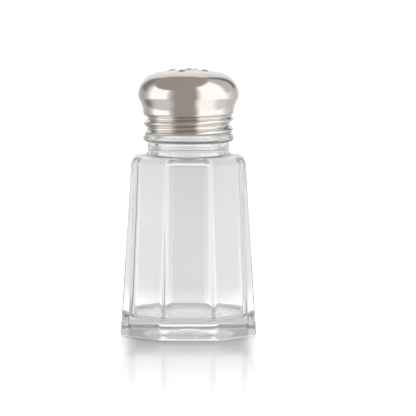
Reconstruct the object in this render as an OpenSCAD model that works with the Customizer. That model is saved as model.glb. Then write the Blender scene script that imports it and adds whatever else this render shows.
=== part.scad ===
// Panelled glass salt shaker with a mushroom-shaped screw cap.
// Units are millimetres. The jar stands on z = 0, centred on the Z axis,
// with one flat panel facing -Y. The cap is drawn screwed down.

/* [Jar body] */
// Width across opposite panels, measured at the table
base_flats = 45; // [43:0.5:48]
// Width across opposite panels, measured at the shoulder
shoulder_flats = 37.8; // [36.5:0.1:39]
// Height of the flat shoulder above the table
shoulder_height = 59.4; // [50:0.2:70]
// Rounding between the panels and the shoulder
shoulder_round = 2.6; // [1.5:0.1:3]
// Rounding between the panels and the underside
heel_round = 1.2; // [0.6:0.1:2]
// Rounding of the eight upright edges
edge_round = 1.8; // [0.8:0.1:3]
// Depth of the hollow under the base
push_up_depth = 1.8; // [0.8:0.1:2.2]
// Radius of the hollow under the base
push_up_radius = 9.5; // [8:0.5:12]

/* [Cavity] */
// Glass thickness of a panel next to the shoulder
wall_top = 3; // [2.6:0.1:3.1]
// Glass thickness of a panel next to the floor
wall_base = 4.7; // [4:0.1:6]
// Height of the floor of the cavity above the table
floor_thickness = 5.8; // [4.5:0.1:6.5]
// Rounding of the upright edges inside, next to the roof
cavity_round_top = 3.6; // [2:0.1:5]
// Rounding of the upright edges inside, next to the floor
cavity_round_base = 5; // [3:0.1:6.5]
// Rounding between the floor and the panels inside
cavity_floor_round = 1.8; // [1:0.1:2.4]
// Rounding between the panels and the roof inside
cavity_roof_round = 1.4; // [1:0.1:1.5]
// Glass thickness of the shoulder
shoulder_thickness = 1.6; // [1.2:0.1:2.4]

/* [Neck] */
// Outer diameter of the neck below the bead
neck_diameter = 27; // [25:0.2:27.4]
// Glass thickness of the neck, from its outside to the bore
neck_wall = 3.3; // [2.8:0.1:3.6]
// Rounding where the bore opens into the cavity
bore_flare = 1.2; // [0.6:0.1:1.6]
// Rounding at the root of the neck
root_fillet = 0.9; // [0.5:0.1:1.2]
// Height of the mould seam ring above the shoulder
seam_height = 2.4; // [2:0.1:2.6]
// Height of the mould seam ring along the neck
seam_width = 0.7; // [0.4:0.1:1]
// Projection of the mould seam ring
seam_depth = 0.25; // [0.15:0.05:0.4]
// Height of the middle of the bead above the shoulder
bead_height = 5.9; // [5.4:0.1:8]
// Thickness of the bead along the neck
bead_thickness = 2.6; // [2.4:0.1:3]
// Projection of the bead beyond the neck
bead_projection = 1.6; // [1.4:0.1:1.8]
// Step from the neck in to the finish above the bead
finish_step = 0.55; // [0.3:0.05:0.7]
// Height of the finish from the top of the bead to the rim
finish_height = 10.2; // [9.8:0.1:11]
// Rounding of the rim
rim_round = 0.7; // [0.4:0.05:1]

/* [Thread] */
// Rise of the thread in one turn
thread_pitch = 3.5; // [3.4:0.05:3.6]
// Depth of the rolled thread, from groove to ridge
thread_depth = 1.2; // [0.9:0.05:1.3]
// Gap between the glass thread and the cap, measured along a radius
thread_clearance = 0.3; // [0.25:0.05:0.4]
// Height of the ridge above the edge of the cap on the +X side
ridge_height = 1; // [0.8:0.05:1.2]
// Angle at which the glass thread begins, from +X
glass_thread_start = 75; // [70:5:120]
// Angle at which the glass thread ends, from +X
glass_thread_end = 390; // [330:5:400]
// Angle over which the ends of the glass thread fade out
thread_fade = 45; // [30:5:60]
// Height below the waist over which the rolled thread of the cap fades out
roll_fade = 1.6; // [1.2:0.1:2]

/* [Seal ring] */
// Thickness of the ring under the edge of the cap
seal_thickness = 0.35; // [0.3:0.05:0.5]
// Gap above and below the ring
seal_gap = 0.1; // [0.05:0.05:0.2]
// Width of the ring from its hole to its rim
seal_width = 1.2; // [1:0.1:1.3]

/* [Cap] */
// Thickness of the sheet
sheet = 0.45; // [0.4:0.05:0.5]
// Height of the skirt from its edge to the waist
skirt_height = 5.65; // [5.4:0.05:6.2]
// Step from the grooves out to the waist
waist_step = 0.7; // [0.5:0.05:0.9]
// Radius of the hollow curve above the waist
waist_curve = 4; // [3:0.1:5]
// Slope of the underside of the head, from upright
head_slope = 25; // [23:1:28]
// Height of the widest part of the head above the waist
head_rise = 6.6; // [6.2:0.1:7]
// Radius of the curve below the widest part
head_under_round = 2.8; // [2.4:0.1:3.4]
// Radius of the curve above the widest part
head_over_round = 7.6; // [7:0.1:8]
// Slope of the crown where it meets the head, from level
crown_slope = 12; // [9:0.5:14]

/* [Sprinkling holes] */
// Diameter of a sprinkling hole
hole_diameter = 1.8; // [1.4:0.1:2.2]
// Number of holes in the ring
ring_holes = 4; // [3:1:8]
// Radius of the ring of holes
ring_radius = 5.9; // [5:0.1:8]
// Angle of the first hole of the ring, from +X
ring_turn = 68; // [0:1:90]
// Height of the lip round each hole
lip_height = 0.3; // [0.15:0.05:0.4]
// Width of the lip round each hole
lip_width = 0.45; // [0.3:0.05:0.6]

/* [Hidden] */
$fn = 96;
// Sides of the jar
sides = 8;
side_angle = 360 / sides;
// Steps along a rounded edge, an arc of an outline and a thread
edge_steps = 5;
arc_steps = 6;
head_steps = 14;
thread_step = 10;
profile_steps = 10;
// Share of the pitch that the ridge of a thread takes up
thread_share = 0.9;
skirt_steps = 20;
skirt_turn = 5;
// Overlap of solids that are joined
bite = 0.6;
sink = 0.12;
tongue = 0.05;

// Heights on the jar
bead_z = shoulder_height + bead_height;
bead_top = bead_z + bead_thickness / 2;
rim_z = bead_top + finish_height;
roof_z = shoulder_height - shoulder_thickness;
// Radii on the jar
neck_radius = neck_diameter / 2;
bore_radius = neck_radius - neck_wall;
bead_radius = neck_radius + bead_projection;
finish_radius = neck_radius - finish_step;
root_radius = neck_radius + root_fillet;
// Heights and radii of the seal ring and the cap
seal_z = bead_top + seal_gap;
edge_z = seal_z + seal_thickness + seal_gap;
groove_radius = finish_radius + thread_clearance;
waist_z = edge_z + skirt_height;
head_z = waist_z + head_rise;
waist_radius = groove_radius + sheet + waist_step;
seal_radius = groove_radius + seal_width;
ridge_z = edge_z + ridge_height;
// Outline of the head, worked out upwards from the waist
cone_foot_r = waist_radius + waist_curve * (1 - cos(head_slope));
cone_foot_z = waist_z + waist_curve * sin(head_slope);
under_drop = head_under_round * sin(head_slope);
cone_rise = head_z - under_drop - cone_foot_z;
cone_top_r = cone_foot_r + cone_rise * tan(head_slope);
head_radius = cone_top_r + head_under_round * (1 - cos(head_slope));
over_r = head_radius - head_over_round;
crown_edge_r = over_r + head_over_round * sin(crown_slope);
crown_round = crown_edge_r / sin(crown_slope);
crown_z = head_z + head_over_round * cos(crown_slope) - crown_round * cos(crown_slope);
crown_top = crown_z + crown_round;

// Half the width of the jar at a height, from its axis to a panel
function panel(z) = (base_flats + (shoulder_flats - base_flats) * z / shoulder_height) / 2;

// One level of a prism with rounded upright edges: half width, rounding and height
function level(half, rounding, z) = [
    for (side = [0 : sides - 1])
        for (step = [0 : edge_steps])
            let (
                corner = side_angle * (side + 0.5),
                turn = side_angle * (side + step / edge_steps),
                reach = (half - rounding) / cos(side_angle / 2)
            )
            [reach * cos(corner) + rounding * cos(turn), reach * sin(corner) + rounding * sin(turn), z]
];

// Solid through levels that have the same number of points
module stack(levels) {
    points = len(levels[0]);
    last = len(levels) - 1;
    polyhedron(
        points = [for (ring = levels) each ring],
        faces = [
            [for (i = [0 : points - 1]) i],
            [for (i = [points - 1 : -1 : 0]) last * points + i],
            for (ring = [0 : last - 1])
                for (i = [0 : points - 1])
                    let (
                        next = (i + 1) % points,
                        low = ring * points,
                        high = low + points
                    )
                    [low + i, high + i, high + next, low + next]
        ],
        convexity = 4
    );
}

// Outside of the jar below the neck
module jar_body() {
    heel = [
        for (step = [0 : arc_steps])
            let (
                turn = 90 * step / arc_steps,
                z = heel_round * (1 - cos(turn))
            )
            level(panel(z) - heel_round * (1 - sin(turn)), edge_round, z)
    ];
    shoulder = [
        for (step = [0 : arc_steps])
            let (
                turn = 90 * step / arc_steps,
                z = shoulder_height - shoulder_round * (1 - sin(turn))
            )
            level(panel(z) - shoulder_round * (1 - cos(turn)), edge_round, z)
    ];
    stack(concat(heel, shoulder));
}

// Hollow inside the jar below the neck
module cavity() {
    floor_half = panel(floor_thickness) - wall_base;
    roof_half = panel(roof_z) - wall_top;
    floor_edge = [
        for (step = [0 : arc_steps])
            let (turn = 90 * step / arc_steps)
            level(
                floor_half - cavity_floor_round * (1 - sin(turn)),
                cavity_round_base,
                floor_thickness + cavity_floor_round * (1 - cos(turn))
            )
    ];
    roof_edge = [
        for (step = [0 : arc_steps])
            let (turn = 90 * step / arc_steps)
            level(
                roof_half - cavity_roof_round * (1 - cos(turn)),
                cavity_round_top,
                roof_z - cavity_roof_round * (1 - sin(turn))
            )
    ];
    stack(concat(floor_edge, roof_edge));
}

// Outside of the neck, from the roof of the cavity up to the rim
module neck() {
    root = [
        for (step = [0 : arc_steps])
            let (turn = 90 * step / arc_steps)
            [
                root_radius - root_fillet * sin(turn),
                shoulder_height + root_fillet * (1 - cos(turn))
            ]
    ];
    bead_round = bead_thickness / 2;
    bead_low = asin((neck_radius - bead_radius + bead_round) / bead_round);
    bead_high = acos((finish_radius - bead_radius + bead_round) / bead_round);
    bead = [
        for (step = [0 : head_steps])
            let (turn = bead_low - 90 + (bead_high - bead_low + 90) * step / head_steps)
            [bead_radius - bead_round + bead_round * cos(turn), bead_z + bead_round * sin(turn)]
    ];
    rim = [
        for (step = [0 : arc_steps])
            let (turn = 90 * step / arc_steps)
            [finish_radius - rim_round * (1 - cos(turn)), rim_z - rim_round * (1 - sin(turn))]
    ];
    seam_low = shoulder_height + seam_height;
    seam = [
        [neck_radius, seam_low],
        [neck_radius + seam_depth, seam_low + seam_width / 3],
        [neck_radius + seam_depth, seam_low + 2 * seam_width / 3],
        [neck_radius, seam_low + seam_width]
    ];
    rotate_extrude()
        polygon(concat([[0, roof_z], [root_radius, roof_z]], root, seam, bead, rim, [[0, rim_z]]));
}

// Way through the neck, rounded at the rim and at the cavity
module bore() {
    flare = [
        for (step = [0 : arc_steps])
            let (turn = 90 * step / arc_steps)
            [
                bore_radius + bore_flare * (1 - sin(turn)),
                roof_z - sink + bore_flare * (1 - cos(turn))
            ]
    ];
    rim = [
        for (step = [0 : arc_steps])
            let (turn = 90 * step / arc_steps)
            [bore_radius + rim_round * (1 - cos(turn)), rim_z - rim_round * (1 - sin(turn))]
    ];
    ends = [
        [bore_radius + rim_round, rim_z + bite],
        [0, rim_z + bite],
        [0, roof_z - bite],
        [bore_radius + bore_flare, roof_z - bite]
    ];
    rotate_extrude()
        polygon(concat(flare, rim, ends));
}

// Height of a thread above the groove at a place across it, 0 in the middle of the ridge
function wave(place) = (1 + cos(360 * place)) / 2;

// Thread wound on the finish of the glass, sinking into it at both ends
module glass_thread() {
    turns = floor((glass_thread_end - glass_thread_start) / thread_step);
    depth = thread_depth + sink;
    sections = [
        for (step = [0 : turns])
            let (
                turn = glass_thread_start + (glass_thread_end - glass_thread_start) * step / turns,
                low = max(0, 1 - (turn - glass_thread_start) / thread_fade),
                high = max(0, 1 - (glass_thread_end - turn) / thread_fade),
                base = finish_radius - sink - (depth + sink) * max(low, high),
                middle = ridge_z + thread_pitch * turn / 360,
                outline = concat(
                    [[base - bite, middle + thread_share * thread_pitch / 2]],
                    [
                        for (i = [0 : profile_steps])
                            let (place = thread_share * (1 / 2 - i / profile_steps))
                            [base + depth * wave(place), middle + thread_pitch * place]
                    ],
                    [[base - bite, middle - thread_share * thread_pitch / 2]]
                )
            )
            [for (p = outline) [p[0] * cos(turn), p[0] * sin(turn), p[1]]]
    ];
    stack(sections);
}

// Radius of the skirt of the cap at an angle and a height: the rolled thread runs into the waist
function skirt_radius(turn, z) =
    let (
        place = (z - ridge_z) / thread_pitch - turn / 360,
        rolled = groove_radius + sheet + thread_depth * wave(place),
        share = max(0, min(1, 1 - (waist_z - z) / roll_fade)),
        smooth = share * share * (3 - 2 * share)
    )
    rolled + (waist_radius - rolled) * smooth;

// Skirt of the cap: its wall swept once round the axis, with a tongue that enters the head
module cap_skirt() {
    sections = [
        for (turn = [0 : skirt_turn : 360 - skirt_turn])
            let (
                heights = [for (i = [0 : skirt_steps]) waist_z - (waist_z - edge_z) * i / skirt_steps],
                outside = [for (z = heights) [skirt_radius(turn, z), z]],
                inside = [for (i = [skirt_steps : -1 : 0]) outside[i] - [sheet, 0]],
                outline = concat(
                    [[waist_radius - 2 * tongue, waist_z + sheet / 2]],
                    [outside[0] - [tongue, 0]],
                    [for (i = [1 : skirt_steps]) outside[i]],
                    [for (i = [0 : skirt_steps - 1]) inside[i]],
                    [inside[skirt_steps] + [tongue, 0]],
                    [[waist_radius - sheet + 2 * tongue, waist_z + sheet / 2]]
                )
            )
            [for (p = outline) [p[0] * cos(turn), p[0] * sin(turn), p[1]]]
    ];
    points = len(sections[0]);
    last = len(sections);
    polyhedron(
        points = [for (ring = sections) each ring],
        faces = [
            for (ring = [0 : last - 1])
                for (i = [0 : points - 1])
                    let (
                        next = (i + 1) % points,
                        here = ring * points,
                        after = (ring + 1) % last * points
                    )
                    [here + i, after + i, after + next, here + next]
        ],
        convexity = 6
    );
}

// Outline of the head of the cap from the waist to the crown, moved inwards by a thickness
function head_outline(inwards) = concat(
    [
        for (step = [0 : arc_steps])
            let (turn = head_slope * step / arc_steps)
            [
                waist_radius + waist_curve - (waist_curve + inwards) * cos(turn),
                waist_z + (waist_curve + inwards) * sin(turn)
            ]
    ],
    [
        for (step = [0 : arc_steps])
            let (turn = head_slope * (step / arc_steps - 1))
            [
                head_radius - head_under_round + (head_under_round - inwards) * cos(turn),
                head_z + (head_under_round - inwards) * sin(turn)
            ]
    ],
    [
        for (step = [1 : head_steps])
            let (turn = (90 - crown_slope) * step / head_steps)
            [
                over_r + (head_over_round - inwards) * cos(turn),
                head_z + (head_over_round - inwards) * sin(turn)
            ]
    ],
    [
        for (step = [1 : arc_steps])
            let (turn = crown_slope * (1 - step / arc_steps))
            [(crown_round - inwards) * sin(turn), crown_z + (crown_round - inwards) * cos(turn)]
    ]
);

// Height of the crown at a distance from the axis
function crown_at(r) = crown_z + sqrt(crown_round * crown_round - r * r);

// Places of the sprinkling holes, as distance and angle
function hole_places() = concat(
    [[0, 0]],
    [for (i = [0 : ring_holes - 1]) [ring_radius, ring_turn + 360 * i / ring_holes]]
);

// Place of the neck in the shoulder
module neck_seat() {
    translate([0, 0, roof_z - sink])
        cylinder(r = root_radius, h = shoulder_thickness + 2 * sink);
}

// Hollow under the base
module push_up() {
    radius = (push_up_radius * push_up_radius + push_up_depth * push_up_depth) / (2 * push_up_depth);
    translate([0, 0, push_up_depth - radius])
        sphere(r = radius);
}

// The jar is one piece of glass, drawn as two solids that meet round the root of the neck
module glass_jar() {
    color([0.86, 0.9, 0.9, 0.5])
        difference() {
            jar_body();
            cavity();
            neck_seat();
            push_up();
        }
}

module glass_neck() {
    color([0.86, 0.9, 0.9, 0.5])
        difference() {
            union() {
                neck();
                glass_thread();
            }
            bore();
        }
}

module seal_ring() {
    color([0.78, 0.78, 0.75])
        translate([0, 0, seal_z])
            difference() {
                cylinder(r = seal_radius, h = seal_thickness);
                translate([0, 0, -bite])
                    cylinder(r = groove_radius, h = seal_thickness + 2 * bite);
            }
}

// Head of the cap without its holes
module cap_head() {
    outside = head_outline(0);
    inside = head_outline(sheet);
    rotate_extrude()
        polygon(concat(outside, [for (i = [len(inside) - 1 : -1 : 0]) inside[i]]));
}

// Lips round the sprinkling holes
module hole_lips() {
    for (place = hole_places())
        rotate([0, 0, place[1]])
            translate([place[0], 0, crown_at(place[0]) - sheet / 2])
                cylinder(
                    r1 = hole_diameter / 2 + lip_width,
                    r2 = hole_diameter / 2 + lip_width / 2,
                    h = sheet / 2 + lip_height
                );
}

// Sprinkling holes
module holes() {
    for (place = hole_places())
        rotate([0, 0, place[1]])
            translate([place[0], 0, crown_at(place[0]) - 2 * sheet - bite])
                cylinder(d = hole_diameter, h = 2 * sheet + 2 * bite);
}

module screw_cap() {
    color([0.7, 0.68, 0.66])
        union() {
            cap_skirt();
            difference() {
                union() {
                    cap_head();
                    hole_lips();
                }
                holes();
            }
        }
}

glass_jar();
glass_neck();
seal_ring();
screw_cap();
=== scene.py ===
# %% [markdown]
# # A glass salt shaker with a steel screw cap
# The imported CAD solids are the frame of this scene: they fix where everything
# is and how big it is. This lesson dresses them. The jar and the cap are built
# again with finer curves, because clear glass and polished steel show every
# flat spot, and each one rides on the body of the solid that it stands for.

# %% Load the frame
import math

import bmesh
import bpy
from mathutils import Matrix, Vector


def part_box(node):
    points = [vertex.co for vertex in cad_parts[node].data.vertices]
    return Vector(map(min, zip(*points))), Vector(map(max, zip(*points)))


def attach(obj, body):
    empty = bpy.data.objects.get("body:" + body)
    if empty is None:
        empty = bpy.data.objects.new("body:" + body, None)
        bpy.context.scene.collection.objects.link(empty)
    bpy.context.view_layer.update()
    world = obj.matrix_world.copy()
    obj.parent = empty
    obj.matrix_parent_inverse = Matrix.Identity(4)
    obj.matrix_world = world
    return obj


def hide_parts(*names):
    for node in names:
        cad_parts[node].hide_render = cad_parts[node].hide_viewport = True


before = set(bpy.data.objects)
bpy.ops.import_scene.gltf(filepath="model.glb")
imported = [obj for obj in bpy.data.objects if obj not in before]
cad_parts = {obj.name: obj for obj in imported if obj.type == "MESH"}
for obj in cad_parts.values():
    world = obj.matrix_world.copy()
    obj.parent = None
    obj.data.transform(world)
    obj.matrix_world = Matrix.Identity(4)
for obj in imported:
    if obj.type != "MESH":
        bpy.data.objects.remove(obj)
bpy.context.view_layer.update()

# %% [markdown]
# ## Sizes
# Everything is worked out in millimetres, the way the shaker was measured, and
# turned into metres when a mesh is finished. Heights and reaches are read from
# the solids where they can be. The other sizes repeat those of the CAD model,
# apart from a few that the text names.

# %% Sizes of the jar and the cap
MM = 0.001
jar_low, jar_high = (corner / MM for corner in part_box("glass_jar"))
neck_low, neck_high = (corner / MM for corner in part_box("glass_neck"))
seal_low, seal_high = (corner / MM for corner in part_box("seal_ring"))
cap_low, cap_high = (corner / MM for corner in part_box("screw_cap"))
print(f"jar {jar_low.z:.2f} to {jar_high.z:.2f} mm, neck {neck_low.z:.2f} to {neck_high.z:.2f} mm")
print(f"seal ring {seal_low.z:.2f} to {seal_high.z:.2f} mm, cap {cap_low.z:.2f} to {cap_high.z:.2f} mm")
rim_z = neck_high.z
edge_z = cap_low.z

# Panels: their number, and half of the width across at the base and at the shoulder
SIDES = 8
BASE_HALF, SHOULDER_HALF, SHOULDER_Z = 22.5, 18.9, jar_high.z
# Cap: thickness of its sheet, and its inner radius in the groove of the thread
SHEET, GROOVE_R = 0.45, 13.25
# Thread: rise in a turn, depth, and the height at which its ridge crosses the X axis
PITCH, THREAD_DEPTH, RIDGE_Z = 3.5, 1.2, edge_z + 1.0

# %% [markdown]
# ## A ring that becomes a jar
# A moulded jar is one skin of glass that runs from the hollow under the base,
# up the panels, over the rim and down inside to the floor. It could be cut out
# of a block with booleans, but those leave ragged faces, and clear glass shows
# every one of them. So the mesh is made the way the skin runs: one ring of
# edges is extruded again and again, and each new ring is moved to its place.
# The helpers say how far a ring reaches from the axis at any angle.

# %% Helpers for the ring
EDGE_ROUND = 1.8


def octagon(half, rounding):
    """Reach of an octagon with rounded corners, for an angle round the axis."""
    eighth = 2 * math.pi / SIDES
    middle = (half - rounding) / math.cos(eighth / 2)
    straight = math.atan2((half - rounding) * math.tan(eighth / 2), half)

    def reach(angle):
        turn = (angle + eighth / 2) % eighth - eighth / 2
        if abs(turn) <= straight:
            return half / math.cos(turn)
        off = eighth / 2 - abs(turn)
        rest = rounding ** 2 - (middle * math.sin(off)) ** 2
        return middle * math.cos(off) + math.sqrt(max(0.0, rest))
    return reach


def circle(radius):
    """Reach of a circle, the same at every angle."""
    return lambda angle: radius


def arc(steps, start=0.0, end=90.0):
    """Cosine and sine along an arc, from its start to its end in degrees."""
    for step in range(steps + 1):
        turn = math.radians(start + (end - start) * step / steps)
        yield math.cos(turn), math.sin(turn)


base = octagon(BASE_HALF, EDGE_ROUND)
print(f"base: {base(0):.2f} mm to a panel, {base(math.pi / SIDES):.2f} mm to a rounded edge")

# %% [markdown]
# ## The outside of the jar
# The underside has a shallow hollow, so that the jar stands on a ring and does
# not rock. Above the rounded heel the eight panels lean inwards to the
# shoulder. Each stretch is a row of rings with a reach and a height: close
# together on a curve, where the light changes fast, and far apart on the flat
# panels, where more of them would add nothing.

# %% Rings of the base and the panels
HEEL, SHOULDER_ROUND = 1.2, 2.6
PUSH_R, PUSH_DEPTH, PUSH_RINGS = 9.5, 1.8, 10
FOOT_RINGS = (PUSH_R + 0.5, PUSH_R + 2.5)
PANEL_RINGS = 8
# Radius of the small ring in the middle of a round face, which is filled with one face
POLE = 0.25


def panel(z):
    """Distance of a panel from the axis at a height."""
    return BASE_HALF + (SHOULDER_HALF - BASE_HALF) * z / SHOULDER_Z


def cap_of_sphere(radius, height):
    """Height above the foot of a shallow dome, for a distance from its middle."""
    ball = (radius ** 2 + height ** 2) / (2 * height)
    return lambda r: height - ball + math.sqrt(ball ** 2 - r ** 2)


hollow = cap_of_sphere(PUSH_R, PUSH_DEPTH)
outside = []
for i in range(PUSH_RINGS + 1):
    r = PUSH_R * i / PUSH_RINGS
    outside.append((circle(max(POLE, r)), hollow(r)))
outside += [(circle(r), 0.0) for r in FOOT_RINGS]
for c, s in arc(steps=7):
    z = HEEL * (1 - c)
    outside.append((octagon(panel(z) - HEEL * (1 - s), EDGE_ROUND), z))
for i in range(1, PANEL_RINGS):
    z = HEEL + (SHOULDER_Z - SHOULDER_ROUND - HEEL) * i / PANEL_RINGS
    outside.append((octagon(panel(z), EDGE_ROUND), z))
for c, s in arc(steps=9):
    z = SHOULDER_Z - SHOULDER_ROUND * (1 - s)
    outside.append((octagon(panel(z) - SHOULDER_ROUND * (1 - c), EDGE_ROUND), z))
print(f"{len(outside)} rings from the hollow under the base to the shoulder")

# %% [markdown]
# ## The neck
# The neck is round. It grows out of the shoulder in a curve and carries a faint
# mould seam and the round bead on which the washer lies. It could be a second
# mesh, but glass has no joint there, and a hidden wall between two meshes would
# show. The curve at its root is rounder than in the solid, as the photo shows.

# %% Rings of the neck
NECK_R, ROOT = 13.5, 2.1
ROOT_RING = NECK_R + ROOT + 0.5
# The seam in points: how far it stands out from the neck, and its height above the shoulder
SEAM = ((0, 2.3), (0.08, 2.45), (0.23, 2.62), (0.25, 2.76), (0.23, 2.9), (0.08, 3.06), (0, 3.2))
PLAIN_RINGS = (3.5, 4.0, 4.4)
BEAD_Z, BEAD_R, BEAD_ROUND = SHOULDER_Z + 5.9, NECK_R + 1.6, 1.3
BEAD_STEPS = 14
FINISH_R = GROOVE_R - 0.3

outside.append((circle(ROOT_RING), SHOULDER_Z))
outside += [(circle(NECK_R + ROOT * (1 - s)), SHOULDER_Z + ROOT * (1 - c)) for c, s in arc(steps=10)]
outside += [(circle(NECK_R + out), SHOULDER_Z + up) for out, up in SEAM]
outside += [(circle(NECK_R), SHOULDER_Z + up) for up in PLAIN_RINGS]
bead_low = -math.degrees(math.acos((NECK_R - BEAD_R + BEAD_ROUND) / BEAD_ROUND))
bead_high = math.degrees(math.acos((FINISH_R - BEAD_R + BEAD_ROUND) / BEAD_ROUND))
outside += [(circle(BEAD_R - BEAD_ROUND + BEAD_ROUND * c), BEAD_Z + BEAD_ROUND * s)
            for c, s in arc(BEAD_STEPS, bead_low, bead_high)]
print(f"{len(outside)} rings up to the top of the bead, which is {2 * BEAD_R:.1f} mm across")

# %% [markdown]
# ## The thread on the glass
# Under the cap the neck carries a little less than one turn of thread. A helix
# could be joined on with a boolean, but the thread is moulded with the neck. So
# the rings of the finish swell out where the thread crosses them, and the
# swelling fades at both ends, as it does where the halves of a mould meet.

# %% Rings of the threaded finish
THREAD_START, THREAD_END, THREAD_FADE = 75.0, 390.0, 45.0
THREAD_RINGS, RING_GAP = 36, 0.1
RIM_ROUND = 0.7


def wave(place):
    """Height across a thread, 1 on the ridge and 0 in the groove."""
    return (1 + math.cos(2 * math.pi * place)) / 2


def ease(share):
    """A share from 0 to 1 that starts and ends gently."""
    return share * share * (3 - 2 * share)


def threaded(z):
    """Reach of the finish at a height: a cylinder with the thread wound on it."""
    def reach(angle):
        best = 0.0
        for lap in (0, 360):
            turn = math.degrees(angle) % 360 + lap
            place = (z - RIDGE_Z) / PITCH - turn / 360
            if abs(place) > 0.5 or not THREAD_START <= turn <= THREAD_END:
                continue
            fade = min(1.0, (turn - THREAD_START) / THREAD_FADE, (THREAD_END - turn) / THREAD_FADE)
            best = max(best, wave(place) * ease(fade))
        return FINISH_R + THREAD_DEPTH * best
    return reach


thread_low = outside[-1][1] + RING_GAP
thread_high = RIDGE_Z + PITCH * (THREAD_END / 360 + 0.5)
for i in range(THREAD_RINGS + 1):
    z = thread_low + (thread_high - thread_low) * i / THREAD_RINGS
    outside.append((threaded(z), z))
outside += [(circle(FINISH_R - RIM_ROUND * (1 - c)), rim_z - RIM_ROUND * (1 - s)) for c, s in arc(steps=6)]
print(f"{len(outside)} rings up to the rim")

# %% [markdown]
# ## The inside of the jar
# The hollow is an octagon as well, but with much rounder corners and nearly
# upright walls, so the glass gets thicker towards the base. The corners are
# roundest at the floor, where the most glass gathers. Giving the outside an
# even thickness would be less work, but most of what is seen in clear glass is
# the far side of it, bent by the near side, so both sides have to be right.

# %% Rings of the inside
BORE_R, FLARE = 10.2, 1.2
BORE_RINGS, BORE_SPARE = 5, 1.5
ROOF_Z, FLOOR_Z = SHOULDER_Z - 1.6, 5.8
ROOF_HALF, FLOOR_HALF = panel(ROOF_Z) - 3.0, panel(FLOOR_Z) - 4.7
ROUND_TOP, ROUND_BASE, ROOF_ROUND, FLOOR_ROUND = 3.6, 5.0, 1.4, 1.8
ROOF_RING = BORE_R + FLARE + 1.0
WALL_RINGS = 8
FLOOR_RINGS = (12.0, 8.0, 4.0, POLE)

inside = [(circle(BORE_R + RIM_ROUND * (1 - s)), rim_z - RIM_ROUND * (1 - c)) for c, s in arc(steps=6)]
bore_top, bore_foot = rim_z - BORE_SPARE, ROOF_Z + FLARE + BORE_SPARE
for i in range(BORE_RINGS + 1):
    inside.append((circle(BORE_R), bore_top + (bore_foot - bore_top) * i / BORE_RINGS))
inside += [(circle(BORE_R + FLARE * (1 - c)), ROOF_Z + FLARE * (1 - s)) for c, s in arc(steps=6)]
inside.append((circle(ROOF_RING), ROOF_Z))
for c, s in arc(steps=7):
    half = ROOF_HALF - ROOF_ROUND * (1 - s)
    inside.append((octagon(half, ROUND_TOP), ROOF_Z - ROOF_ROUND * (1 - c)))
wall_top, wall_foot = ROOF_Z - ROOF_ROUND, FLOOR_Z + FLOOR_ROUND
for i in range(1, WALL_RINGS):
    share = i / WALL_RINGS
    half = ROOF_HALF + (FLOOR_HALF - ROOF_HALF) * share
    rounding = ROUND_TOP + (ROUND_BASE - ROUND_TOP) * share
    inside.append((octagon(half, rounding), wall_top + (wall_foot - wall_top) * share))
for c, s in arc(steps=9):
    half = FLOOR_HALF - FLOOR_ROUND * (1 - c)
    inside.append((octagon(half, ROUND_BASE), FLOOR_Z + FLOOR_ROUND * (1 - s)))
inside += [(circle(r), FLOOR_Z) for r in FLOOR_RINGS]
print(f"{len(inside)} rings from the rim to the middle of the floor")

# %% [markdown]
# ## The first ring
# Now the ring itself. It starts as an octagon. A bevel gives each corner a few
# vertices close together, because that is where the panels meet and the light
# changes fastest. The long sides are cut up too, so that the same ring can
# also make a round neck. A plain circle would put the corners anywhere.

# %% Start the ring
CORNER_BEVEL, CORNER_STEPS = 0.1, 8
LONG_SIDE, SIDE_CUTS = 0.2, 11


def place_ring(verts, reach, z):
    """Moves a ring of vertices to a reach from the axis and a height."""
    for vert in verts:
        angle = math.atan2(vert.co.y, vert.co.x)
        r = reach(angle)
        vert.co = Vector((r * math.cos(angle), r * math.sin(angle), z))


bm = bmesh.new()
bmesh.ops.create_circle(bm, cap_ends=True, radius=1.0, segments=SIDES)
bmesh.ops.rotate(bm, verts=bm.verts, cent=(0, 0, 0), matrix=Matrix.Rotation(math.pi / SIDES, 3, "Z"))
bmesh.ops.bevel(bm, geom=list(bm.verts), offset=CORNER_BEVEL, segments=CORNER_STEPS, profile=0.5,
                affect="VERTICES", material=-1)
long_sides = [edge for edge in bm.edges if edge.calc_length() > LONG_SIDE]
bmesh.ops.subdivide_edges(bm, edges=long_sides, cuts=SIDE_CUTS)
place_ring(list(bm.verts), *outside[0])
ring = list(bm.edges)
print(f"first ring: {len(ring)} edges")

# %% [markdown]
# The ring grows through all the rings of the outside and then back down the
# inside, and the last one is filled. The first one already has a face, so the
# skin is closed, which glass needs: light that enters it has to come out again.

# %% Grow the jar
def extrude_ring(bm, ring):
    """Extrudes an open ring of edges, and gives the new ring and its vertices."""
    made = bmesh.ops.extrude_edge_only(bm, edges=ring)["geom"]
    edges = [item for item in made if isinstance(item, bmesh.types.BMEdge) and len(item.link_faces) == 1]
    return edges, [item for item in made if isinstance(item, bmesh.types.BMVert)]


def open_edges(bm):
    """Number of edges that don't have a face on both sides."""
    return sum(1 for edge in bm.edges if len(edge.link_faces) != 2)


def new_object(name, data):
    """Puts an object into the scene, at the origin."""
    thing = bpy.data.objects.new(name, data)
    bpy.context.scene.collection.objects.link(thing)
    return thing


def finish_mesh(bm, name):
    """Turns a bmesh in millimetres into a smooth object in metres, at the origin."""
    bmesh.ops.scale(bm, vec=(MM, MM, MM), verts=bm.verts)
    mesh = bpy.data.meshes.new(name)
    bm.to_mesh(mesh)
    bm.free()
    mesh.shade_smooth()
    return new_object(name, mesh)


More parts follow.
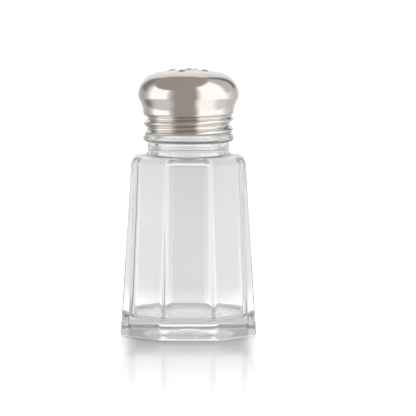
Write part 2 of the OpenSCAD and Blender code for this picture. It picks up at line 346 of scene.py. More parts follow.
for reach, z in outside[1:] + inside:
    ring, verts = extrude_ring(bm, ring)
    place_ring(verts, reach, z)
bmesh.ops.edgeloop_fill(bm, edges=ring)
bmesh.ops.recalc_face_normals(bm, faces=bm.faces)
print(f"jar: {len(bm.faces)} faces, {open_edges(bm)} open edges, {bm.calc_volume() / 1000:.1f} cm3 of glass")
jar = finish_mesh(bm, "jar_glass")
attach(jar, "jar")
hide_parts("glass_jar")
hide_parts("glass_neck")

# %% [markdown]
# ## The seal ring
# A thin washer of soft plastic lies on the bead, under the edge of the cap. A
# torus that is pressed flat would have no flat faces to seal with. So a small
# outline with rounded corners is spun once round the axis. A full spin needs
# use_merge, or a seam stays open where it meets itself.

# %% Build the seal ring
SEAL_INNER, SEAL_OUTER, SEAL_ROUND = GROOVE_R, seal_high.x, 0.12
SEAL_STEPS, CORNER_ARC = 128, 4
# Points that are closer than this are merged
WELD = 1e-5


def spin_outline(bm, outline, steps, closed):
    """Spins a line of (radius, height) points once round the axis."""
    verts = [bm.verts.new((r, 0.0, z)) for r, z in outline]
    edges = [bm.edges.new(pair) for pair in zip(verts, verts[1:])]
    if closed:
        edges.append(bm.edges.new((verts[-1], verts[0])))
    bmesh.ops.spin(bm, geom=verts + edges, cent=(0, 0, 0), axis=(0, 0, 1),
                   angle=2 * math.pi, steps=steps, use_merge=True)
    bmesh.ops.remove_doubles(bm, verts=bm.verts, dist=WELD)


inner, outer = SEAL_INNER + SEAL_ROUND, SEAL_OUTER - SEAL_ROUND
low, high = seal_low.z + SEAL_ROUND, seal_high.z - SEAL_ROUND
seal_outline = []
for start, r, z in ((0, outer, high), (90, inner, high), (180, inner, low), (270, outer, low)):
    seal_outline += [(r + SEAL_ROUND * c, z + SEAL_ROUND * s) for c, s in arc(CORNER_ARC, start, start + 90)]
bm = bmesh.new()
spin_outline(bm, seal_outline, SEAL_STEPS, closed=True)
bmesh.ops.recalc_face_normals(bm, faces=bm.faces)
print(f"seal ring: {len(bm.faces)} faces, {open_edges(bm)} open edges")
seal = finish_mesh(bm, "seal_washer")
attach(seal, "seal")
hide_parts("seal_ring")

# %% [markdown]
# ## The head of the cap
# The cap is drawn from one steel sheet, and its head is a row of curves that
# run smoothly into each other: a hollow curve above the waist, a cone, the
# round brim and the crown. They could be drawn by eye as one free curve, but a
# mirror shows each small wave in it. So the arcs are worked out, and each one
# starts where the last one ends. They are close to those of the solid. Only
# the waist is a little fuller, as the reflections in the photo show.

# %% Arcs of the head
SKIRT_HEIGHT, WAIST_STEP, WAIST_CURVE = 6.486, 1.4, 7.0
HEAD_HEIGHT, HEAD_SLOPE, HEAD_UNDER, HEAD_OVER, CROWN_SLOPE = 12.25, 25.0, 2.8, 7.6, 12.0
WAIST_Z, WAIST_R = edge_z + SKIRT_HEIGHT, GROOVE_R + SHEET + WAIST_STEP
head_z = edge_z + HEAD_HEIGHT
slope, crown_slope = math.radians(HEAD_SLOPE), math.radians(CROWN_SLOPE)
cone_foot = Vector((WAIST_R + WAIST_CURVE * (1 - math.cos(slope)), WAIST_Z + WAIST_CURVE * math.sin(slope)))
cone_rise = head_z - HEAD_UNDER * math.sin(slope) - cone_foot.y
head_r = cone_foot.x + cone_rise * math.tan(slope) + HEAD_UNDER * (1 - math.cos(slope))
cone_top = Vector((head_r - HEAD_UNDER * (1 - math.cos(slope)), head_z - HEAD_UNDER * math.sin(slope)))
over_r = head_r - HEAD_OVER
crown_edge = over_r + HEAD_OVER * math.sin(crown_slope)
crown_ball = crown_edge / math.sin(crown_slope)
crown_middle = head_z + (HEAD_OVER - crown_ball) * math.cos(crown_slope)


def crown_at(r):
    """Height of the crown at a distance from the axis."""
    return crown_middle + math.sqrt(crown_ball ** 2 - r ** 2)


print(f"cap: widest {2 * head_r:.2f} mm at {head_z:.2f} mm, crown at {crown_at(0):.2f} mm")

# %% [markdown]
# ## The skin of the cap
# Only the outer skin of the sheet is modelled, and its thickness is added at
# the end, because drawing both sides would mean every curve twice. The outline
# runs from the edge of the skirt up to the plate with the holes, and it has
# many points on the skirt, where the thread comes next.

# %% Outline of the cap
SKIRT_STEPS, BEND_STEPS, CONE_STEPS, BRIM_STEPS, CROWN_STEPS = 34, 8, 5, 22, 4
PLATE_R = 8.2
skin = [(WAIST_R, edge_z + (WAIST_Z - edge_z) * i / SKIRT_STEPS) for i in range(SKIRT_STEPS)]
skin += [(WAIST_R + WAIST_CURVE * (1 - c), WAIST_Z + WAIST_CURVE * s)
         for c, s in arc(BEND_STEPS, 0, HEAD_SLOPE)]
skin += [tuple(cone_foot.lerp(cone_top, i / CONE_STEPS)) for i in range(1, CONE_STEPS)]
skin += [(head_r - HEAD_UNDER * (1 - c), head_z + HEAD_UNDER * s)
         for c, s in arc(BEND_STEPS, -HEAD_SLOPE, 0)]
skin += [(over_r + HEAD_OVER * c, head_z + HEAD_OVER * s)
         for c, s in arc(BRIM_STEPS, 0, 90 - CROWN_SLOPE)][1:]
for i in range(1, CROWN_STEPS + 1):
    r = crown_edge - (crown_edge - PLATE_R) * i / CROWN_STEPS
    skin.append((r, crown_at(r)))
print(f"outline of {len(skin)} points, {SKIRT_STEPS} of them on the skirt")

# %% [markdown]
# ## Rolling the thread
# On the real cap a wheel rolls a spiral groove into the skirt. Here the outline
# is spun round the axis and then pressed in the same way: every vertex of the
# skirt moves to the radius of the spiral at its own angle and height, which
# keeps the faces even, as a boolean cut would not. The spiral fades into the
# smooth waist, a little more slowly than in the solid, and it runs out over the
# edge below so that the glass thread can enter.

# %% Spin the skin and roll its thread
ROLL_FADE = 1.6
CAP_STEPS = 176
# A length too small to see, with which places are told apart
HAIR = 1e-4


def rolled_radius(angle, z):
    """Radius of the rolled skirt at an angle and a height."""
    place = (z - RIDGE_Z) / PITCH - angle / (2 * math.pi)
    rolled = GROOVE_R + SHEET + THREAD_DEPTH * wave(place)
    share = max(0.0, min(1.0, 1 - (WAIST_Z - z) / ROLL_FADE))
    return rolled + (WAIST_R - rolled) * ease(share)


bm = bmesh.new()
spin_outline(bm, skin, CAP_STEPS, closed=False)
for vert in bm.verts:
    if vert.co.z < WAIST_Z - HAIR:
        angle = math.atan2(vert.co.y, vert.co.x)
        radius = rolled_radius(angle, vert.co.z)
        vert.co.x, vert.co.y = radius * math.cos(angle), radius * math.sin(angle)
print(f"skin: {len(bm.faces)} faces")

# %% [markdown]
# ## The plate with the holes
# The sprinkling holes are punched from inside. Cylinders could be cut out of
# the crown with booleans, but they would leave long thin faces that dent its
# mirror. So the crown was left open in the middle, and a flat plate is filled
# between its inner edge and five circles.

# %% Fill the plate
RING_R, RING_HOLES, RING_TURN = 5.9, 4, 68.0
LIP_FOOT, LIP_STEPS = 1.55, 40

centres = [Vector((0, 0, 0))]
for i in range(RING_HOLES):
    turn = math.radians(RING_TURN + 360 * i / RING_HOLES)
    centres.append(Matrix.Rotation(turn, 3, "Z") @ Vector((RING_R, 0, 0)))
plate_z = crown_at(PLATE_R)
plate_edges = [edge for edge in bm.edges if len(edge.link_faces) == 1 and edge.verts[0].co.z > head_z]
rims = []
for centre in centres:
    spot = Matrix.Translation(Vector((centre.x, centre.y, plate_z)))
    made = bmesh.ops.create_circle(bm, cap_ends=False, radius=LIP_FOOT, segments=LIP_STEPS, matrix=spot)
    verts = made["verts"]
    rims.append([edge for edge in bm.edges if edge.verts[0] in verts and edge.verts[1] in verts])
fixed_edges = plate_edges + [edge for rim in rims for edge in rim]
bmesh.ops.triangle_fill(bm, use_beauty=True, use_dissolve=False, edges=fixed_edges)


def plate_faces(bm):
    """The faces of the plate, which all lie at its height."""
    return [face for face in bm.faces if all(vert.co.z > plate_z - HAIR for vert in face.verts)]


print(f"plate: {len(plate_faces(bm))} triangles between {len(rims)} holes")

# %% [markdown]
# The triangles of the plate are long, so they are halved twice and their edges
# are swapped for shorter ones. Only then are they lifted onto the dome, which
# would show long triangles as flat spots. The edges are picked in the order in
# which the mesh holds them, so that every run gives the same triangles.

# %% Lay the plate on the dome
HALVINGS, LONG_EDGE = 2, 0.7
fixed = set(fixed_edges)


def inner_edges(bm):
    """The edges of the plate, without those at the holes and round the outside."""
    own = {edge for face in plate_faces(bm) for edge in face.edges}
    return [edge for edge in bm.edges if edge in own and edge not in fixed]


for halving in range(HALVINGS):
    long_edges = [edge for edge in inner_edges(bm) if edge.calc_length() > LONG_EDGE]
    bmesh.ops.subdivide_edges(bm, edges=long_edges, cuts=1)
    bmesh.ops.triangulate(bm, faces=plate_faces(bm))
    bmesh.ops.beautify_fill(bm, faces=plate_faces(bm), edges=inner_edges(bm))
print(f"plate: {len(plate_faces(bm))} triangles after {HALVINGS} halvings")
for vert in bm.verts:
    r = math.hypot(vert.co.x, vert.co.y)
    if vert.co.z > plate_z - HAIR and r < PLATE_R - HAIR:
        vert.co.z = crown_at(r)

# %% [markdown]
# The punch leaves a small raised lip round each hole, and two of the lips show
# on the outline of the crown. The edge of each circle is extruded inwards and
# up, step by step, so that the lip grows out of the crown without a seam.

# %% Raise the lips
HOLE_R = 0.9
# The lip in points: how far from the middle of the hole, and how high above the crown
LIP = ((1.46, 0.015), (1.36, 0.065), (1.26, 0.15), (1.16, 0.23), (1.07, 0.28), (0.99, 0.295),
       (0.93, 0.27), (HOLE_R, 0.2))

for centre, rim in zip(centres, rims):
    for distance, height in LIP:
        rim, verts = extrude_ring(bm, rim)
        for vert in verts:
            way = Vector((vert.co.x - centre.x, vert.co.y - centre.y)).normalized() * distance
            vert.co.x, vert.co.y = centre.x + way.x, centre.y + way.y
            vert.co.z = crown_at(math.hypot(vert.co.x, vert.co.y)) + height
print(f"cap skin: {len(bm.faces)} faces, {open_edges(bm)} edges left open at the holes and the skirt")

# %% [markdown]
# The skin has to face outwards before it gets its thickness. A second skin
# could be modelled inside it, but a Solidify modifier keeps the thickness even
# and easy to change. The sheet grows inwards, so the outer size of the cap
# stays as it was measured.

# %% Thicken the sheet
bmesh.ops.recalc_face_normals(bm, faces=bm.faces)
brim = max(bm.faces, key=lambda face: math.hypot(*face.calc_center_median().xy))
if brim.normal.dot(brim.calc_center_median()) < 0:
    bmesh.ops.reverse_faces(bm, faces=bm.faces)
cap = finish_mesh(bm, "cap_steel")
sheet = cap.modifiers.new("sheet", "SOLIDIFY")
sheet.thickness = SHEET * MM
sheet.offset = -1.0
sheet.use_even_offset = True
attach(cap, "cap")
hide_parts("screw_cap")
print("cap box", [round(v / MM, 2) for v in cap.dimensions])

# %% [markdown]
# ## Clear glass
# Soda-lime glass lets nearly all light through and bends it at each surface,
# by an index of about 1.5. A see-through shader with a mirror on top could
# fake it, but then nothing behind the glass would bend. So the Principled
# shader gets full transmission. The helpers start a material and add nodes.

# %% Glass material
GLASS_INDEX = 1.52


def adder(tree):
    """Gives a helper that adds a node to a tree and sets its sockets."""
    def add(kind, operation=None, **sockets):
        node = tree.nodes.new(kind)
        if operation:
            node.operation = operation
        for socket, value in sockets.items():
            node.inputs[socket.replace("_", " ")].default_value = value
        return node
    return add


def new_material(name):
    """A material, its Principled shader, and helpers that add and link nodes."""
    material = bpy.data.materials.new(name)
    material.use_nodes = True
    tree = material.node_tree
    return material, tree.nodes["Principled BSDF"], adder(tree), tree.links.new


glass, shader, add, link = new_material("clear_glass")
shader.inputs["IOR"].default_value = GLASS_INDEX
shader.inputs["Transmission Weight"].default_value = 1.0
jar.data.materials.append(glass)
print("material", glass.name, "on", jar.name, "with an index of", GLASS_INDEX)

# %% [markdown]
# Perfect glass would look like air with an outline. The real one is almost
# colourless, with a breath of grey. A wide noise varies that tint a little,
# and a finer one leaves thin patches of haze, as fingers and washing do.

# %% Tint and haze of the glass
def colour(tone):
    """A number becomes a white of that brightness, a hair warm. A colour stays."""
    return tone if isinstance(tone, tuple) else (tone, tone, 0.99 * tone)


def add_ramp(add, *stops):
    """Adds a colour ramp. Each stop is a place and a tone."""
    node = add("ShaderNodeValToRGB")
    ramp = node.color_ramp
    while len(ramp.elements) < len(stops):
        ramp.elements.new(1.0)
    for element, (place, tone) in zip(ramp.elements, stops):
        element.position = place
        element.color = (*colour(tone), 1.0)
    return node


def add_noise(add, link, vector, **sockets):
    """Adds a noise that is read along a vector."""
    node = add("ShaderNodeTexNoise", **sockets)
    link(vector, node.inputs["Vector"])
    return node.outputs["Fac"]


place = add("ShaderNodeTexCoord").outputs["Object"]
tint = add_ramp(add, (0.3, (0.955, 0.965, 0.962)), (0.7, (0.975, 0.982, 0.98)))
link(add_noise(add, link, place, Scale=45.0, Detail=1.0), tint.inputs["Fac"])
link(tint.outputs["Color"], shader.inputs["Base Color"])
haze = add("ShaderNodeMapRange", From_Min=0.35, From_Max=0.75, To_Min=0.0, To_Max=0.03)
link(add_noise(add, link, place, Scale=120.0, Detail=3.0), haze.inputs["Value"])
link(haze.outputs["Result"], shader.inputs["Roughness"])
print(f"{glass.name}: {len(glass.node_tree.nodes)} nodes with its tint and haze")

# %% [markdown]
# The mould leaves the glass a little wavy, which bends the straight lines
# behind it, and the hollow under the base has a fine grain. Both are too slight
# to model, so they are bumps. The grain is kept to the hollow by a mask: 1 low
# down and near the axis, and 0 elsewhere.

# %% Ripples and grain in the glass
# Materials measure in metres. The grain fades out upwards and outwards between these
GRAIN_TOP, GRAIN_EDGE = (0.0023, 0.0026), (0.0085, 0.0095)


def from_axis(add, link, place):
    """Distance of a place from the Z axis, and its height."""
    split = add("ShaderNodeSeparateXYZ")
    flat = add("ShaderNodeCombineXYZ")
    across = add("ShaderNodeVectorMath", "LENGTH")
    link(place, split.inputs["Vector"])
    link(split.outputs["X"], flat.inputs["X"])
    link(split.outputs["Y"], flat.inputs["Y"])
    link(flat.outputs["Vector"], across.inputs[0])
    return across.outputs["Value"], split.outputs["Z"]


def below(add, link, value, ends):
    """A mask: 1 below the first end and 0 above the second."""
    node = add("ShaderNodeMapRange", From_Min=ends[0], From_Max=ends[1], To_Min=1.0, To_Max=0.0)
    link(value, node.inputs["Value"])
    return node.outputs["Result"]


ripple = add("ShaderNodeBump", Strength=0.12, Distance=0.0006)
link(add_noise(add, link, place, Scale=110.0, Detail=1.5, Roughness=0.4), ripple.inputs["Height"])
distance, height = from_axis(add, link, place)
in_hollow = add("ShaderNodeMath", "MULTIPLY")
link(below(add, link, height, GRAIN_TOP), in_hollow.inputs[0])
link(below(add, link, distance, GRAIN_EDGE), in_hollow.inputs[1])
grain = add("ShaderNodeBump", Distance=0.0006)
link(in_hollow.outputs["Value"], grain.inputs["Strength"])
link(add_noise(add, link, place, Scale=900.0, Detail=2.0), grain.inputs["Height"])
link(ripple.outputs["Normal"], grain.inputs["Normal"])
link(grain.outputs["Normal"], shader.inputs["Normal"])
print(f"{glass.name}: {len(glass.node_tree.nodes)} nodes with its ripples and grain")

# %% [markdown]
# ## Polished steel
# The cap is stainless steel that turned while it was polished, so it mirrors
# the room but keeps faint lines that run round it. Anisotropy could smear the
# reflections that way, but it shows no lines. They come from a noise that is
# read along the radius and the height only. They change the roughness and the
# bump a little, and a wider noise adds the cloudiness of handling.

# %% Steel material
steel, shader, add, link = new_material("polished_steel")
shader.inputs["Metallic"].default_value = 1.0
place = add("ShaderNodeTexCoord").outputs["Object"]
distance, height = from_axis(add, link, place)
round_axis = add("ShaderNodeCombineXYZ")
link(distance, round_axis.inputs["X"])
link(height, round_axis.inputs["Z"])
lines = add_noise(add, link, round_axis.outputs["Vector"], Scale=4200.0, Detail=3.0, Roughness=0.6)
cloud = add_noise(add, link, place, Scale=150.0, Detail=4.0, Roughness=0.55)
tone = add_ramp(add, (0.3, (0.60, 0.57, 0.545)), (0.7, (0.68, 0.65, 0.625)))
link(cloud, tone.inputs["Fac"])
link(tone.outputs["Color"], shader.inputs["Base Color"])
mixed = add("ShaderNodeMath", "ADD")
link(lines, mixed.inputs[0])
link(cloud, mixed.inputs[1])
gloss = add("ShaderNodeMapRange", From_Min=0.6, From_Max=1.4, To_Min=0.06, To_Max=0.13)
link(mixed.outputs["Value"], gloss.inputs["Value"])
link(gloss.outputs["Result"], shader.inputs["Roughness"])
line_bump = add("ShaderNodeBump", Strength=0.06, Distance=0.0001)
link(lines, line_bump.inputs["Height"])
link(line_bump.outputs["Normal"], shader.inputs["Normal"])
cap.data.materials.append(steel)
print("material", steel.name, "on", cap.name)

# %% [markdown]
# ## Soft plastic
# The washer is a milky soft plastic that lets a little light in. A single
# colour would look like paint, so a fine noise varies the tone and gives the
# surface a slight grain.

# %% Seal material
plastic, shader, add, link = new_material("seal_plastic")
shader.inputs["Subsurface Weight"].default_value = 0.2
shader.inputs["Subsurface Scale"].default_value = 0.0005
place = add("ShaderNodeTexCoord").outputs["Object"]
grain = add_noise(add, link, place, Scale=900.0, Detail=3.0)
tone = add_ramp(add, (0.3, (0.72, 0.72, 0.69)), (0.7, (0.8, 0.8, 0.775)))
link(grain, tone.inputs["Fac"])
link(tone.outputs["Color"], shader.inputs["Base Color"])
gloss = add("ShaderNodeMapRange", To_Min=0.4, To_Max=0.6)
link(grain, gloss.inputs["Value"])
link(gloss.outputs["Result"], shader.inputs["Roughness"])
grain_bump = add("ShaderNodeBump", Strength=0.1, Distance=0.00005)
link(grain, grain_bump.inputs["Height"])
link(grain_bump.outputs["Normal"], shader.inputs["Normal"])
seal.data.materials.append(plastic)
print("material", plastic.name, "on", seal.name)

# %% [markdown]
# ## A white tent round the shaker
# Metal and glass have hardly any colour of their own: they show the room. The
# photograph looks like one taken in a small white tent: a bright wall on each
# side, a paler one behind, and an opening with a dim room in front and above.
# Cards and lamps could be set up as objects, but they would stand in the way of
# other views. So the room gets its tone from the direction round the shaker,
# which is looked up in a ramp. A ramp starts behind the shaker, at 0, and runs
# round by the left, the front and the right.

# %% Tone by direction
DIM = (0.30, 0.27, 0.25)
LOW_WALLS = ((0.0, 0.55), (0.045, 0.55), (0.083, 0.40), (0.153, 0.36), (0.2, 0.5), (0.242, 1.0),
             (0.352, 1.0), (0.379, 0.47), (0.41, DIM), (0.547, DIM), (0.587, 1.0), (0.755, 1.0),
             (0.81, 0.59), (0.878, 0.46), (0.94, 0.54), (1.0, 0.55))
HIGH_WALLS = ((0.0, 0.63), (0.075, 0.63), (0.1, 0.2), (0.16, 0.2), (0.195, 0.45), (0.24, 1.0),
              (0.352, 1.0), (0.379, 0.47), (0.41, DIM), (0.547, DIM), (0.587, 1.0), (0.745, 1.0),
              (0.78, 0.47), (0.865, 0.45), (0.882, 0.16), (0.905, 0.16), (0.925, 0.45), (0.94, 0.63),
              (1.0, 0.63))


def tone_around(add, link, vector, stops):
    """Looks a tone up by the direction of a vector round the Z axis."""
    split = add("ShaderNodeSeparateXYZ")
    ahead = add("ShaderNodeMath", "MULTIPLY")
    ahead.inputs[1].default_value = -1.0
    angle = add("ShaderNodeMath", "ARCTAN2")
    around = add("ShaderNodeMapRange", From_Min=-math.pi, From_Max=math.pi)
    ramp = add_ramp(add, *stops)
    link(vector, split.inputs["Vector"])
    link(split.outputs["Y"], ahead.inputs[0])
    link(split.outputs["X"], angle.inputs[0])
    link(ahead.outputs["Value"], angle.inputs[1])
    link(angle.outputs["Value"], around.inputs["Value"])
    link(around.outputs["Result"], ramp.inputs["Fac"])
    return ramp.outputs["Color"]


print(f"walls: {len(LOW_WALLS)} tones low down, {len(HIGH_WALLS)} tones higher up")

# %% [markdown]
# ## The studio floor
# The shaker stands on a glossy white sheet that runs into the white background.
# The sheet is one flat face. It lies a hair below the jar, because a ray can't
# tell which of two faces comes first if they lie in one place. One plain white
# would do for cloth or wood, but not under steel and glass. So the material has
# three looks: for the camera, for the steel that mirrors it, and for the glass
# that it is seen through.

# %% Floor
FLOOR_GAP, SHEET_HALF = 0.05, 2000.0
bm = bmesh.new()
bmesh.ops.create_grid(bm, x_segments=1, y_segments=1, size=SHEET_HALF,
                      matrix=Matrix.Translation((0, 0, -FLOOR_GAP)))
floor = finish_mesh(bm, "studio_floor")
white, shader, add, link = new_material("white_sheet")
shader.inputs["Roughness"].default_value = 0.2
shader.inputs["Emission Color"].default_value = (1.0, 1.0, 1.0, 1.0)
path = add("ShaderNodeLightPath")
place = add("ShaderNodeTexCoord").outputs["Object"]
away = add("ShaderNodeVectorMath", "LENGTH")
link(place, away.inputs[0])
print(f"floor: {floor.dimensions.x:.1f} m wide, {FLOOR_GAP} mm under the jar")

# %% [markdown]
# What the camera sees: the lamp throws a soft shadow, and a glossy sheet also
# mirrors the foot of the jar. Outside a patch under the shaker the sheet glows
# a little, so that it is as white as the background. The patch is a painted
# shadow: in it the sheet is darker and does not glow, which deepens the lamp's
# own shadow. It ends soon at the sides and behind. In front it fades in a long
# faint tail of painted shadow, in which the mirror image of the jar can be seen.

# %% Painted shadow of the shaker
SHADOW_SIDE, SHADOW_BACK, SHADOW_FRONT = (0.0155, 0.026), (0.01, 0.05), (-0.03, -0.16)
SHADOW_TAIL = ((0.0, 0.0), (0.08, 0.06), (0.2, 0.34), (0.55, 0.42), (1.0, 0.6))
SHEET_GLOW = 0.5


def smooth_step(add, link, value, ends, **levels):
    """Rises smoothly from 0 at one end to 1 at the other, or between two levels."""
    node = add("ShaderNodeMapRange", From_Min=ends[0], From_Max=ends[1], **levels)
    node.interpolation_type = "SMOOTHSTEP"
    link(value, node.inputs["Value"])
    return node.outputs["Result"]


split = add("ShaderNodeSeparateXYZ")
link(place, split.inputs["Vector"])
side = add("ShaderNodeMath", "ABSOLUTE")
link(split.outputs["X"], side.inputs[0])
ahead = add("ShaderNodeMapRange", From_Min=SHADOW_FRONT[0], From_Max=SHADOW_FRONT[1])
link(split.outputs["Y"], ahead.inputs["Value"])
tail = add_ramp(add, *SHADOW_TAIL)
link(ahead.outputs["Result"], tail.inputs["Fac"])
along = add("ShaderNodeMath", "MAXIMUM")
link(tail.outputs["Color"], along.inputs[0])
link(smooth_step(add, link, split.outputs["Y"], SHADOW_BACK), along.inputs[1])
free = add("ShaderNodeMath", "MAXIMUM")
link(smooth_step(add, link, side.outputs["Value"], SHADOW_SIDE), free.inputs[0])
link(along.outputs["Value"], free.inputs[1])
# Painted shadow: in the patch under the shaker the sheet's own colour is darker
sheet_and_painted_shadow = add_ramp(add, (0.0, (0.66, 0.66, 0.655)), (0.5, (0.84, 0.84, 0.84)))
link(free.outputs["Value"], sheet_and_painted_shadow.inputs["Fac"])
link(sheet_and_painted_shadow.outputs["Color"], shader.inputs["Base Color"])
# Outside the painted shadow the sheet glows for the camera, as white as the backdrop
glow = add("ShaderNodeMath", "MULTIPLY")
glow.inputs[1].default_value = SHEET_GLOW
link(free.outputs["Value"], glow.inputs[0])
seen = add("ShaderNodeMath", "MULTIPLY")
link(glow.outputs["Value"], seen.inputs[0])
link(path.outputs["Is Camera Ray"], seen.inputs[1])
link(seen.outputs["Value"], shader.inputs["Emission Strength"])
print(f"shadow: {2 * SHADOW_SIDE[1] / MM:.0f} mm wide, its tail {-SHADOW_FRONT[1] / MM:.0f} mm long")

# %% [markdown]
# What the steel mirrors: the sheet is not lit for it but glows with tones by
# direction. Far away it is as bright as the wall behind it. Close to the
# shaker it is dimmer, a painted shade, most of all on the left, where the dark
# band in the cap comes from.

# %% Floor seen in steel
ROOM_LIGHT = 1.6
# Painted shade: tones of the sheet close to the shaker, dimmer than far away
NEAR_SHEET = ((0.0, 0.37), (0.08, 0.3), (0.13, 0.19), (0.18, 0.19), (0.215, 0.4), (0.25, 0.55),
              (0.35, 0.55), (0.405, DIM), (0.54, DIM), (0.585, 0.95), (0.68, 0.95), (0.72, 0.65),
              (0.78, 0.6), (0.84, 0.45), (1.0, 0.37))
FAR_SHEET = (0.15, 0.24)


def blend(add, link, factor, first, second):
    """Mixes two colours by a factor."""
    node = add("ShaderNodeMix")
    node.data_type = "RGBA"
    link(factor, node.inputs["Factor"])
    link(first, node.inputs["A"])
    link(second, node.inputs["B"])
    return node.outputs["Result"]


mirrored = add("ShaderNodeEmission", Strength=ROOM_LIGHT)
close_painted_shade = tone_around(add, link, place, NEAR_SHEET)
far_off = tone_around(add, link, place, LOW_WALLS)
distant = smooth_step(add, link, away.outputs["Value"], FAR_SHEET)
link(blend(add, link, distant, close_painted_shade, far_off), mirrored.inputs["Color"])
print(f"mirrored sheet: {len(NEAR_SHEET)} tones close by, and those of the walls from {FAR_SHEET[1]} m")

# %% [markdown]
# What shows through the glass: clear glass on a white sheet would nearly vanish.
# A photographer puts dark cards beside it, which show only in its rounded edges
# and draw them as thin lines. Two dark strips on the sheet do the same, a brown
# one on the left and a grey one on the right. Straight behind the shaker the
# is grey. A grey ring of painted shade round the foot of the jar shows in its
# thick base.

# %% Floor seen through glass
BROWN = (0.33, 0.30, 0.28)
SHEET_BEHIND = ((0.02, 0.80), (0.05, 1.0), (0.118, 1.0), (0.132, BROWN), (0.21, BROWN), (0.235, 0.95),
                (0.42, 0.95), (0.46, 0.72), (0.54, 0.72), (0.58, 0.95), (0.765, 0.95), (0.79, 0.6),
                (0.85, 0.6), (0.87, 1.0), (0.95, 1.0), (0.98, 0.80))
FOOT_EDGE, FOOT_REACH = (0.031, 0.037), 0.05
# Painted light: seen through glass the sheet glows brighter close to the shaker and dimmer far off
CLOSE_GLOW, FAR_FADE = (0.05, 0.1), (0.25, 0.6)

through = add("ShaderNodeEmission")
foot = add("ShaderNodeMapRange", From_Max=FOOT_REACH)
link(away.outputs["Value"], foot.inputs["Value"])
# Painted shade: a grey ring round the foot of the jar, seen through the glass
foot_painted_shade = add_ramp(add, (0.42, 0.54), (0.48, 0.5))
link(foot.outputs["Result"], foot_painted_shade.inputs["Fac"])
past_foot = smooth_step(add, link, away.outputs["Value"], FOOT_EDGE)
behind = tone_around(add, link, place, SHEET_BEHIND)
link(blend(add, link, past_foot, foot_painted_shade.outputs["Color"], behind), through.inputs["Color"])
fade = add("ShaderNodeMapRange", From_Min=FAR_FADE[0], From_Max=FAR_FADE[1], To_Min=1.0, To_Max=0.86)
link(away.outputs["Value"], fade.inputs["Value"])
strength = add("ShaderNodeMath", "MULTIPLY")
link(smooth_step(add, link, away.outputs["Value"], CLOSE_GLOW, To_Min=1.12, To_Max=0.97), strength.inputs[0])
link(fade.outputs["Result"], strength.inputs[1])
link(strength.outputs["Value"], through.inputs["Strength"])
print(f"sheet behind the glass: {len(SHEET_BEHIND)} tones, and a grey foot of {FOOT_EDGE[1] / MM:.0f} mm")

# %% [markdown]
# The Light Path node tells which kind of ray asks, and picks one of the three.
# A ray that went through glass may also have been mirrored in it, so the glass
# is asked last and wins.

# %% Choose what the floor shows
def choose(add, link, factor, first, second):
    """Mixes two shaders by a factor."""
    node = add("ShaderNodeMixShader")
    link(factor, node.inputs["Fac"])
    link(first, node.inputs[1])
    link(second, node.inputs[2])
    return node.outputs["Shader"]


solid = choose(add, link, path.outputs["Is Glossy Ray"], shader.outputs["BSDF"], mirrored.outputs["Emission"])
shown = choose(add, link, path.outputs["Is Transmission Ray"], solid, through.outputs["Emission"])
link(shown, white.node_tree.nodes["Material Output"].inputs["Surface"])
floor.data.materials.append(white)
print("material", white.name, "on", floor.name)

# %% [markdown]
# ## The room
# The walls of the tent end above the shaker, on the right and behind higher
# than on the left, and above them is the dim room. A picture of a studio could
# stand in for them, but a few ramps need no other file and are easy to change:
# the low walls blend into the high ones, and these into the dim tone.

# %% World
CEILING_TILT, CEILING_EDGE = (-0.27, -0.15, 1.0), (0.72, 0.80)
HIGHER = (0.1, 0.25)
world = bpy.data.worlds.new("studio_room")
bpy.context.scene.world = world
world.use_nodes = True
room = world.node_tree
room.nodes.clear()
add, link = adder(room), room.links.new
view = add("ShaderNodeTexCoord").outputs["Generated"]
split = add("ShaderNodeSeparateXYZ")
link(view, split.inputs["Vector"])
tilt = add("ShaderNodeVectorMath", "DOT_PRODUCT")
tilt.inputs[1].default_value = CEILING_TILT
link(view, tilt.inputs[0])
low_walls = tone_around(add, link, view, LOW_WALLS)
high_walls = tone_around(add, link, view, HIGH_WALLS)
higher = smooth_step(add, link, split.outputs["Z"], HIGHER)
ceiling = add("ShaderNodeMix")
ceiling.data_type = "RGBA"
ceiling.inputs["B"].default_value = (*DIM, 1.0)
link(smooth_step(add, link, tilt.outputs["Value"], CEILING_EDGE), ceiling.inputs["Factor"])
link(blend(add, link, higher, low_walls, high_walls), ceiling.inputs["A"])
around = add("ShaderNodeBackground", Strength=ROOM_LIGHT)
link(ceiling.outputs["Result"], around.inputs["Color"])
print(f"{world.name}: {len(room.nodes)} nodes for what the steel mirrors")

# %% [markdown]
# The same room once more for the rays that come out of the glass. Glass that
# bends the light upwards shows the wall behind as a white strip between darker
# corners, and higher up the room is dark. The camera itself sees plain white.

# %% Room seen through glass
GLASS_WALLS = ((0.0, 0.74), (0.045, 0.74), (0.07, 0.25), (0.125, 0.22), (0.2, 0.45), (0.245, 0.65),
               (0.36, 0.65), (0.41, DIM), (0.575, DIM), (0.62, 0.65), (0.755, 0.65), (0.8, 0.45),
               (0.875, 0.22), (0.93, 0.25), (0.955, 0.74), (1.0, 0.74))
GLASS_CEILING = ((0.05, 0.42), (0.12, 0.17), (0.88, 0.17), (0.95, 0.42))
RAISED = (0.12, 0.34)
bent = add("ShaderNodeBackground", Strength=ROOM_LIGHT)
glass_walls = tone_around(add, link, view, GLASS_WALLS)
glass_ceiling = tone_around(add, link, view, GLASS_CEILING)
raised = smooth_step(add, link, split.outputs["Z"], RAISED)
link(blend(add, link, raised, glass_walls, glass_ceiling), bent.inputs["Color"])
backdrop = add("ShaderNodeBackground", Color=(1.0, 1.0, 1.0, 1.0))
path = add("ShaderNodeLightPath")
glassy = choose(add, link, path.outputs["Is Transmission Ray"],
                around.outputs["Background"], bent.outputs["Background"])
shown = choose(add, link, path.outputs["Is Camera Ray"], glassy, backdrop.outputs["Background"])
link(shown, add("ShaderNodeOutputWorld").inputs["Surface"])
print(f"{world.name}: {len(room.nodes)} nodes with the glass and the backdrop")

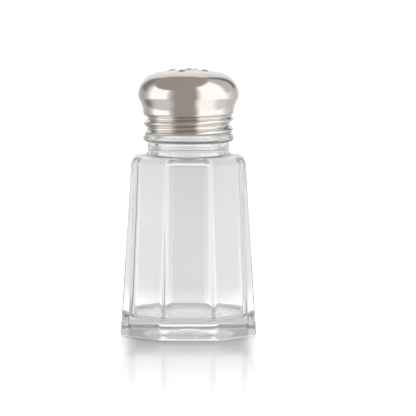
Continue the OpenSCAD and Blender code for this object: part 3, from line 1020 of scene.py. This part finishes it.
# %% [markdown]
# ## The lamp
# One wide soft box above and behind the shaker throws its shadow forward. A
# small lamp would throw a hard one. It only lights the sheet and the washer:
# steel and glass show the tent without it.

# %% Soft box
BOX_PLACE, BOX_SIZE, BOX_POWER = Vector((0.0, 0.45, 0.6)), (0.7, 0.4), 2.0
lamp = bpy.data.lights.new("soft_box_back", "AREA")
lamp.shape = "RECTANGLE"
lamp.size, lamp.size_y = BOX_SIZE
lamp.energy = BOX_POWER
soft_box = new_object("soft_box_back", lamp)
soft_box.location = BOX_PLACE
soft_box.rotation_euler = (-BOX_PLACE).to_track_quat("-Z", "Y").to_euler()
soft_box.visible_glossy = soft_box.visible_transmission = False
print(f"{soft_box.name}: {lamp.energy:.1f} W, {lamp.size:.1f} by {lamp.size_y:.1f} m")

# %% [markdown]
# ## The camera
# The camera is far away and a little above, so that upright lines stay nearly
# upright, and it is shifted to frame the shaker as the photo does, because
# turning it would tilt those lines. Light is thrown to and fro in thick glass
# before it finds a way out. Blender's usual number of bounces ends it too soon
# and leaves black corners, so more of them are allowed.

# %% Camera
FRAME_PX, PX_PER_MM = 416, 3.0
SHIFT_PX = (19.5, -5.35)
DISTANCE, ELEVATION = 0.9, 5.4
TARGET = Vector((0.0, 0.0, 0.0435))
lens = bpy.data.cameras.new("camera")
camera = new_object("camera", lens)
bpy.context.scene.camera = camera
lift = math.radians(ELEVATION)
back = Vector((0.0, -math.cos(lift), math.sin(lift)))
camera.location = TARGET + back * DISTANCE
camera.rotation_euler = (-back).to_track_quat("-Z", "Y").to_euler()
lens.sensor_width = 36.0
lens.lens = lens.sensor_width * DISTANCE / (FRAME_PX / PX_PER_MM * MM)
lens.shift_x, lens.shift_y = (shift / FRAME_PX for shift in SHIFT_PX)
bpy.context.scene.view_settings.view_transform = "Standard"
bpy.context.scene.cycles.max_bounces = 20
bpy.context.scene.cycles.glossy_bounces = 16
bpy.context.scene.cycles.transmission_bounces = 20
print(f"camera: {lens.lens:.0f} mm lens, {DISTANCE} m away, {ELEVATION} degrees up")
